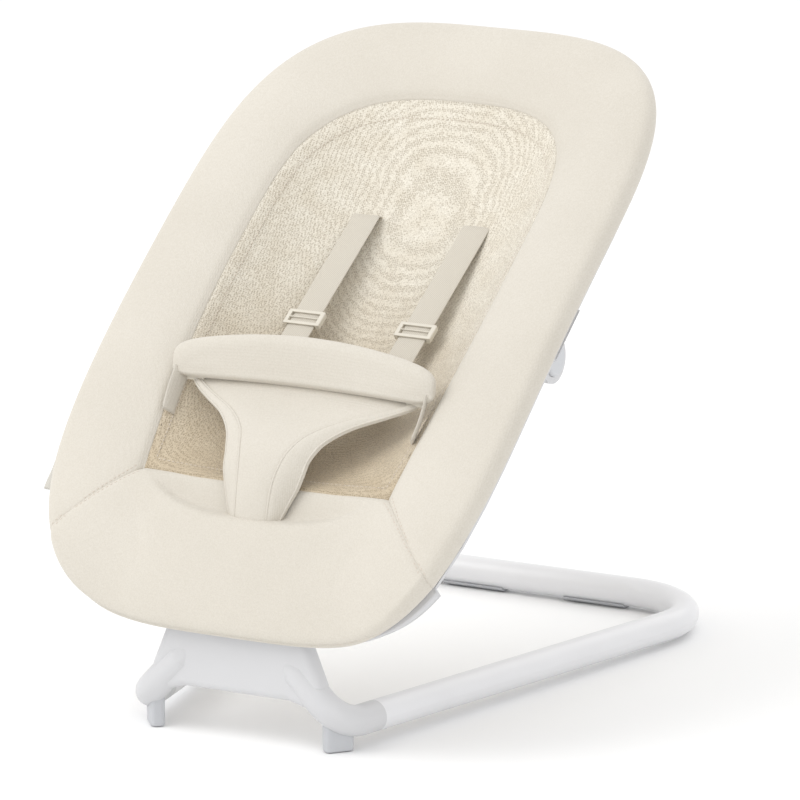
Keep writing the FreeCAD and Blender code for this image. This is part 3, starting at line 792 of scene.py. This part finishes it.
def make_apron():
    """Moulded panel and rim that the front cover is stretched over."""
    rows = []
    for outer, inner in front_stations():
        corner = smooth((abs(outer[0]) / HALF_WIDTH - 0.5) / 0.34)
        shape = apron_profile(station_width(outer, inner), corner)
        rows.append([station_place(outer, inner, d, n) for d, n in shape])
    piece = tube_piece("apron_moulding", rows, "seat", "white_plastic")
    piece.data.flip_normals()
    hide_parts("apron_shell")


# ------------------------------------------------------------------ mesh sling
SLING_CENTRE = (0.0, 330.0)
SLING_THICK = 1.2
BAND_SHARE = 0.936                # where the band along the sling's edge is stitched


def sling_place(x, s, share, over=0.0):
    """Place on the sling at a share of the way from its centre to its outline."""
    px = SLING_CENTRE[0] + (x - SLING_CENTRE[0]) * share
    ps = SLING_CENTRE[1] + (s - SLING_CENTRE[1]) * share
    return seat_point(px, ps, sling_height(px, ps) + over)


def sling_outline(count=60):
    """Right half of the mesh outline, from the middle of the lower seam to the head."""
    line = [(MESH_FRONT_HALF * k / 24, MESH_FRONT_S) for k in range(24)]
    side = [MESH_FRONT_S + (MESH_HEAD[0] - MESH_FRONT_S) * k / 40 for k in range(40)]
    line += [(mesh_half(s), s) for s in side]

    def turn(angle):
        place = curve_point(angle, MESH_HALF, MESH_HEAD)
        return place, place

    return line + [turn(angle)[0] for angle in even(turn, count, 0.0, 90.0)]


def sling_height(x, s):
    """Height of the sling, sagging between its seams."""
    first = MESH_HEAD[0] - MESH_HEAD[1]
    along = clamp(2 * (s - first) / (MESH_FRONT_S - first) - 1, -1.0, 1.0)
    across = clamp(x / max(mesh_half(s), 1.0), -1.0, 1.0)
    dip = (1 - abs(along) ** 2.6) * (1 - abs(across) ** 2.6)
    return seam_height(s) - 1.0 - MESH_SAG * dip


def make_sling():
    right = sling_outline()
    outline = right + [(-x, s) for x, s in right[-2:0:-1]]
    shares = [0.02] + [0.02 + 0.90 * (k / 34) ** 0.9 for k in range(1, 35)]
    shares += [0.932, 0.938, 0.944, 0.96, 0.98, 1.0, 1.025]
    points = []
    for share in shares:
        band = 0.7 if share > 0.94 else 0.0
        if share > 1:
            band = -3.0
        for x, s in outline:
            points.append(sling_place(x, s, share, band))
    count = len(outline)
    faces = grid_faces(len(shares), count, close_columns=True)
    middle = len(points)
    points.append(sling_place(*SLING_CENTRE, 1.0))
    faces += [(middle, (k + 1) % count, k) for k in range(count)]
    piece = make_piece("mesh_sling", points, [f[::-1] for f in faces], "seat", "mesh_fabric")
    add_modifier(piece, "SOLIDIFY", thickness=SLING_THICK * MM, offset=-1.0)
    apply_modifiers(piece)
    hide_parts("mesh_panel")
    return piece, outline


# ------------------------------------------------------------------ harness
STRAP_WIDTH = 25.0
STRAP_THICK = 1.4
STRAP_X = 52.0
STRAP_ACROSS = (-0.5, -0.485, -0.44, -0.25, 0, 0.25, 0.44, 0.485, 0.5)   # shares of the width
# y and z along a shoulder strap, from behind the mesh out through its slot to the waist bar
STRAP_RUN = [(68.4, 348.0), (61.0, 363.0), (56.5, 369.3), (52.5, 370.0), (47.5, 366.9),
             (40.0, 361.7), (-10.0, 329.4), (-80.0, 284.3), (-131.6, 251.0)]


def strap_rows(path, x, width, thick):
    """Sections of flat webbing along a side path (y, z), rounded at its edges."""
    fine = []
    for (y0, z0), (y1, z1) in zip(path, path[1:]):
        steps = max(1, int(math.dist((y0, z0), (y1, z1)) / 4))
        fine += [(y0 + (y1 - y0) * k / steps, z0 + (z1 - z0) * k / steps) for k in range(steps)]
    fine.append(path[-1])
    rows = []
    for i, (y, z) in enumerate(fine):
        before, after = fine[max(0, i - 1)], fine[min(len(fine) - 1, i + 1)]
        run = math.dist(before, after)
        up = Vector((0, -(after[1] - before[1]) / run, (after[0] - before[0]) / run))
        if up.z < 0:
            up = -up
        row = []
        for side in (1, -1):
            for a in STRAP_ACROSS[::side]:
                edge = abs(a) / 0.5
                half = thick / 2 * (1 - edge ** 12 * 0.7)
                bow = 0.3 * (1 - edge ** 2)
                row.append(Vector((x + a * width, y, z)) + up * (side * half + bow))
        rows.append(row)
    return rows


def make_straps():
    for side, name in ((1, "right"), (-1, "left")):
        rows = strap_rows(STRAP_RUN, side * STRAP_X, STRAP_WIDTH, STRAP_THICK)
        piece = tube_piece("shoulder_webbing_" + name, rows, "seat", "webbing")
        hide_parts("shoulder_strap_" + name)


PAD_HALF = 120.6
PAD_TOP = 308.5
PAD_BOTTOM = 268.0
PAD_Y = -141.0
PAD_DEEP = 9.5
PAD_SIDES = 28
PAD_SEAM_SIDE = 20                # the pad is held along this column of its sections


def pad_section(u):
    """Closed section of the waist bar at u from -1 to 1 across it."""
    end = max(0.0, 1 - abs(u) ** 16) ** 0.45
    top = PAD_TOP - 13.5 * u * u
    bottom = PAD_BOTTOM - 2.0 * u * u
    centre = (top + bottom) / 2
    tall = (top - bottom) / 2 * (0.30 + 0.70 * end)
    deep = (PAD_DEEP - 3.0 * u * u) * (0.25 + 0.75 * end)
    y = PAD_Y - 7.0 * u * u
    row = []
    for k in range(PAD_SIDES):
        turn = 2 * math.pi * k / PAD_SIDES
        c, s = math.cos(turn), math.sin(turn)
        dy = -deep * math.copysign(abs(c) ** 0.8, c)
        dz = tall * math.copysign(abs(s) ** 0.85, s)
        row.append(Vector((PAD_HALF * u, y + dy + 0.12 * dz, centre + dz)))
    return row


def make_pad():
    places = [math.sin(math.pi / 2 * (-1 + 2 * k / 44)) for k in range(45)]
    rows = [pad_section(u * 0.999) for u in places]
    piece = tube_piece("waist_bar_pad", rows, "harness", "melange_fabric")
    hold = []
    for k, u in enumerate(places):
        for j in range(PAD_SIDES):
            away = abs(j - PAD_SEAM_SIDE)
            seam = min(away, PAD_SIDES - away)
            hold.append(1 - 0.9 * smooth((1 - abs(u)) * 5) * smooth(seam / 3))
    hold += [1.0, 1.0]
    puff(piece, hold, 3.0, 3.0)
    subdivide(piece)
    press_seam(piece, pad_seam_line(), reach=2.2, depth=1.2)
    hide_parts("waist_pad")


def pad_seam_line():
    """The seam along the pad's lower front edge, where its bottom panel starts."""
    line = []
    for k in range(81):
        row = pad_section(-0.985 + 1.97 * k / 80)
        line.append(row[25].lerp(row[24], 0.5))
    return line


def press_seam(piece, line, reach, depth):
    """Presses a groove into a finished piece along a line of points."""
    mesh = piece.data
    places = coordinates(mesh) / MM
    normals = np.zeros(len(mesh.vertices) * 3)
    mesh.vertices.foreach_get("normal", normals)
    normals = normals.reshape(-1, 3)
    for index, place in enumerate(places):
        here = Vector(place)
        gap = min((here - p).length for p in line)
        if gap < 3 * reach:
            places[index] -= normals[index] * depth * bell(gap / reach)
    mesh.vertices.foreach_set("co", (places * MM).ravel())
    mesh.update()


# rows of the crotch piece: y, z, half width of its main panel, outer half width, set-back
CROTCH_ROWS = [(-235.0, 171.0, 14.3, 21.5, 6.8), (-235.8, 177.0, 14.6, 23.2, 7.6),
               (-233.5, 191.0, 15.0, 28.5, 10.5), (-229.5, 206.0, 15.8, 34.0, 12.7),
               (-223.0, 220.0, 18.0, 37.5, 11.5), (-213.0, 233.0, 22.5, 39.5, 10.0),
               (-197.0, 243.5, 31.0, 46.0, 7.0), (-178.0, 252.0, 50.0, 62.0, 4.5),
               (-160.0, 259.5, 78.0, 88.0, 2.5), (-145.0, 266.0, 98.0, 105.0, 1.5),
               (-138.0, 275.0, 103.0, 106.0, 1.5)]


def spread_rows(rows, count):
    """Smooth Catmull-Rom rows between given ones."""
    made = []
    for i in range(count + 1):
        t = i / count * (len(rows) - 1)
        k = min(int(t), len(rows) - 2)
        f = t - k
        a, b = rows[max(0, k - 1)], rows[k]
        c, d = rows[k + 1], rows[min(len(rows) - 1, k + 2)]
        made.append(tuple(0.5 * (2 * q + (r - p) * f + (2 * p - 5 * q + 4 * r - w) * f * f
                                 + (3 * q - p - 3 * r + w) * f ** 3)
                          for p, q, r, w in zip(a, b, c, d)))
    return made


CROTCH_THICK = 5.0
CROTCH_ACROSS = (-1.0, -0.92, -0.75, -0.5, -0.25, 0, 0.25, 0.5, 0.75, 0.92, 1.0)
CROTCH_WING = (0.08, 0.25, 0.5, 0.75, 0.92, 1.0)
CROTCH_SEAMS = (6, 16)            # columns where the main panel meets its wings
CROTCH_EDGES = (1, 21)            # columns just inside the outer edges


def crotch_sections():
    rows = spread_rows(CROTCH_ROWS, 54)
    sections = []
    for i, (y, z, main, outer, back) in enumerate(rows):
        before, after = rows[max(0, i - 1)], rows[min(len(rows) - 1, i + 1)]
        run = math.dist(before[:2], after[:2])
        ahead = Vector((0, (after[0] - before[0]) / run, (after[1] - before[1]) / run))
        front = Vector((0, -ahead.z, ahead.y))
        line = []
        for a in CROTCH_ACROSS:
            line.append((a * main, 2.2 * (1 - a * a) - 0.9 * bell((abs(a) - 1) / 0.05)))
        wing = [(main + (outer - main) * q, -back * q ** 1.15 + 1.6 * math.sin(math.pi * q))
                for q in CROTCH_WING]
        front_line = [(-x, n) for x, n in wing[::-1]] + line + wing
        shape = front_line + [(x, n - CROTCH_THICK * (1 - 0.55 * (abs(x) / outer) ** 6))
                              for x, n in front_line[::-1]]
        sections.append([Vector((x, y, z)) + front * n for x, n in shape])
    return sections


def make_crotch():
    sections = crotch_sections()
    piece = tube_piece("crotch_cover", sections, "harness", "melange_fabric")
    piece.data.flip_normals()
    count = len(sections[0])
    half = count // 2
    hold = []
    for i in range(len(sections)):
        end = smooth(min(i, len(sections) - 1 - i) / 5)
        for j in range(count):
            gap = min(abs(j - k) for k in CROTCH_SEAMS)
            edge = min(j, abs(j - half + 1), abs(j - half), count - 1 - j)
            hold.append(1 - 0.8 * end * smooth(gap / 3) * smooth(edge / 3))
    hold += [1.0, 1.0]
    puff(piece, hold, 2.0, 2.0)
    subdivide(piece)
    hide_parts("crotch_piece")
    return piece, sections


def make_crotch_seams(crotch, sections):
    """Piped seams down both sides of the main panel, and round the outer edge."""
    skin = Skin(crotch)
    names = ("seam_left", "seam_right", "edge_left", "edge_right")
    for name, column in zip(names, CROTCH_SEAMS + CROTCH_EDGES):
        line = []
        for section in sections[1:-2]:
            place, normal = skin.at(section[column])
            line.append(place + normal * 0.1)
        make_seam_cord("crotch_" + name, line, 1.0, "harness")


WING_TOP = Vector((113.0, -148.0, 272.0))
WING_RUN = Vector((0, -24.0, -30.0))
WING_ACROSS = Vector((-0.35, 0.74, -0.58))
WING_HALF_WIDTH = 9.0
WING_HALF_THICK = 1.3
WING_STEPS = 16
WING_SIDES = 12


def make_waist_wings():
    """Short side straps from the waist bar's ends down to slots beside the mesh."""
    for side, name in ((1, "right"), (-1, "left")):
        rows = []
        for i in range(WING_STEPS + 1):
            t = i / WING_STEPS
            bow = Vector((math.sin(math.pi * t), 0, 0))
            centre = WING_TOP + WING_RUN * t + bow
            half = WING_HALF_WIDTH - 2.0 * t
            row = []
            for k in range(WING_SIDES):
                turn = 2 * math.pi * k / WING_SIDES
                thick = Vector((WING_HALF_THICK * math.sin(turn), 0, 0))
                row.append(centre + thick + WING_ACROSS * half * math.cos(turn))
            rows.append([Vector((side * p.x, p.y, p.z)) for p in row])
        piece = tube_piece("waist_wing_" + name, rows, "seat", "melange_fabric")
        if side < 0:
            piece.data.flip_normals()
        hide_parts("waist_strap_" + name)


CROTCH_SLOT = (-239.5, 175.6)     # y and z of the slot's corners
CROTCH_SLOT_X = (13.0, 17.0, 21.0, 24.5)
WAIST_SLOT_S = 456.0
WAIST_SLOT_LONG = 34.0
SLOT_STEPS = 20


def make_slot_shadows():
    """Painted shadow: dark tubes in the slots that the crotch piece and the side straps go into,
    standing in for the shade inside them.
    """
    for side, name in ((1, "right"), (-1, "left")):
        corner = [Vector((side * x, *CROTCH_SLOT)) for x in CROTCH_SLOT_X]
        seam = []
        for k in range(SLOT_STEPS + 1):
            s = WAIST_SLOT_S + WAIST_SLOT_LONG * k / SLOT_STEPS
            seam.append(seat_point(side * (mesh_half(s) - 1.0), s, -3.2))
        for part, line, size in (("crotch", corner, 1.5), ("waist", seam, 2.0)):
            rows = round_rows(line, lambda t: 0.2 + size * math.sin(math.pi * t) ** 0.7, 10)
            slot = tube_piece("slot_%s_%s" % (part, name), rows, "seat", "melange_fabric")
            # the near-black colour is painted shadow for the shade inside the slot
            slot.data.materials[0] = slot_painted_shadow


# the folded ribbon's section: x, height over its middle
TAB_SECTION = ((-188, 0.9), (-196, 1.0), (-202, 0.95), (-203.5, 0.5), (-204, 0),
               (-203.5, -0.5), (-202, -0.95), (-196, -1.0), (-188, -0.9))
TAB_LONG = 26


def make_tab():
    """Folded ribbon sewn into the left edge, left blank."""
    low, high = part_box("label_tab")
    slope = profile(TAB_S)[2]
    along = Vector((0, -math.cos(slope), -math.sin(slope)))
    up = seat_normal(TAB_S)
    centre = Vector((0, (low.y + high.y) / 2 / MM, (low.z + high.z) / 2 / MM))
    rows = []
    for i in range(13):
        a = -TAB_LONG / 2 + TAB_LONG * i / 12
        row = []
        for x, n in TAB_SECTION:
            wave = 0.35 * math.sin(a / 4.5)
            row.append(Vector((x, 0, 0)) + centre + along * a + up * (n + wave))
        rows.append(row)
    piece = tube_piece("ribbon_tab", rows, "seat", "ribbon")
    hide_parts("label_tab")


# ------------------------------------------------------------------ seams and stitches
def on_station(outer, inner, share, n=6.0):
    """Place on a station, share 0 at the mesh seam and 1 at the edge."""
    return station_place(outer, inner, station_width(outer, inner) * (1 - share), n)


STITCH_OFFSET = 2.4               # how far the stitches run from a diagonal seam


def diagonal_line(stations, side):
    """Line beside a panel's diagonal seam, on the right for side 1 and the left for -1."""
    first, second = stations[0], stations[1]
    step = on_station(*second, 0.5) - on_station(*first, 0.5)
    away = step.normalized() * STITCH_OFFSET
    line = []
    for k in range(40):
        place = on_station(*first, 0.03 + 0.93 * k / 39, 8.0) + away
        line.append(Vector((side * place.x, place.y, place.z)))
    return line


def make_stitches(border, front, sling, outline):
    """Thread stitches on both sides of the diagonal seams, and round the mesh's band."""
    points = []
    faces = []
    border_skin = Skin(border)
    front_skin = Skin(front)
    sling_skin = Skin(sling)
    for side in (1, -1):
        stitch_line(border_skin, diagonal_line(border_stations(), side), points, faces)
        stitch_line(front_skin, diagonal_line(front_stations(), side), points, faces)
    band = [sling_place(x, s, BAND_SHARE, 2) for x, s in outline + outline[:1]]
    stitch_line(sling_skin, band, points, faces, stitch=2.6, gap=1.4, radius=0.4)
    piece = make_piece("cover_stitches", points, faces, "seat", "melange_fabric")
    piece.data.materials[0] = thread


def make_seam_cord(name, line, radius, body):
    """Piping along a line, thinner towards both ends."""
    rows = round_rows(line, lambda t: radius * (0.3 + 0.7 * smooth(min(t, 1 - t) * 12)), 8)
    tube_piece(name, rows, body, "melange_fabric")


# ------------------------------------------------------------------ stage
# metres from here on
FLOOR_HALF = 12.0
FLOOR_DROP = 0.0006               # keeps the paper clear of the feet
LIGHT_TARGET = Vector((0, 0, 0.25))
# name, place, size, power
LIGHTS = (("key", (-1.6, -1.6, 2.6), 2.2, 42.0), ("fill", (2.4, -1.8, 1.4), 2.4, 6.0),
          ("back", (0.6, 2.4, 2.2), 2.0, 12.0))


def make_floor():
    half = FLOOR_HALF
    mesh = bpy.data.meshes.new("floor")
    mesh.from_pydata([(-half, -half, 0), (half, -half, 0), (half, half, 0), (-half, half, 0)],
                     [], [(0, 1, 2, 3)])
    floor = bpy.data.objects.new("floor", mesh)
    bpy.context.collection.objects.link(floor)
    floor.location.z = -FLOOR_DROP
    material, _, shader = nodes_of("floor_paper")
    shader.inputs["Base Color"].default_value = (0.93, 0.93, 0.93, 1)
    shader.inputs["Roughness"].default_value = 0.9
    mesh.materials.append(material)


def make_lights():
    world = bpy.data.worlds.new("studio")
    bpy.context.scene.world = world
    world.use_nodes = True
    background = world.node_tree.nodes["Background"]
    background.inputs["Color"].default_value = (1.0, 1.0, 1.0, 1)
    background.inputs["Strength"].default_value = 1.0

    for name, place, size, power in LIGHTS:
        light = bpy.data.lights.new(name, "AREA")
        light.size = size
        light.energy = power
        lamp = bpy.data.objects.new(name, light)
        bpy.context.collection.objects.link(lamp)
        lamp.location = place
        aim = LIGHT_TARGET - Vector(place)
        lamp.rotation_euler = aim.to_track_quat("-Z", "Y").to_euler()


CAMERA_TURN = (28.6, 13.1)        # azimuth and elevation in degrees
CAMERA_AIM = Vector((0, 0.0154, 0))
CAMERA_AWAY = 5.5
CAMERA_HIGH = 0.2195
CAMERA_LENS = 295.0               # millimetres, on a sensor 36 mm wide


def make_camera():
    azimuth, elevation = (math.radians(angle) for angle in CAMERA_TURN)
    ahead = Vector((-math.sin(azimuth) * math.cos(elevation),
                    math.cos(azimuth) * math.cos(elevation), -math.sin(elevation)))
    right = Vector((math.cos(azimuth), math.sin(azimuth), 0))
    up = right.cross(ahead)
    data = bpy.data.cameras.new("camera")
    data.sensor_width = 36.0
    data.lens = CAMERA_LENS
    camera = bpy.data.objects.new("camera", data)
    bpy.context.collection.objects.link(camera)
    camera.location = CAMERA_AIM - ahead * CAMERA_AWAY + up * CAMERA_HIGH
    camera.rotation_euler = (math.pi / 2 - elevation, 0, azimuth)
    bpy.context.scene.camera = camera


bpy.context.scene.view_settings.view_transform = "Standard"
make_camera()
make_floor()
make_lights()
dress_frame()
border = make_border()
front = make_front()
make_apron()
sling, sling_edge = make_sling()
make_straps()
make_pad()
crotch, crotch_rows = make_crotch()
make_crotch_seams(crotch, crotch_rows)
make_waist_wings()
make_slot_shadows()
make_tab()
make_stitches(border, front, sling, sling_edge)
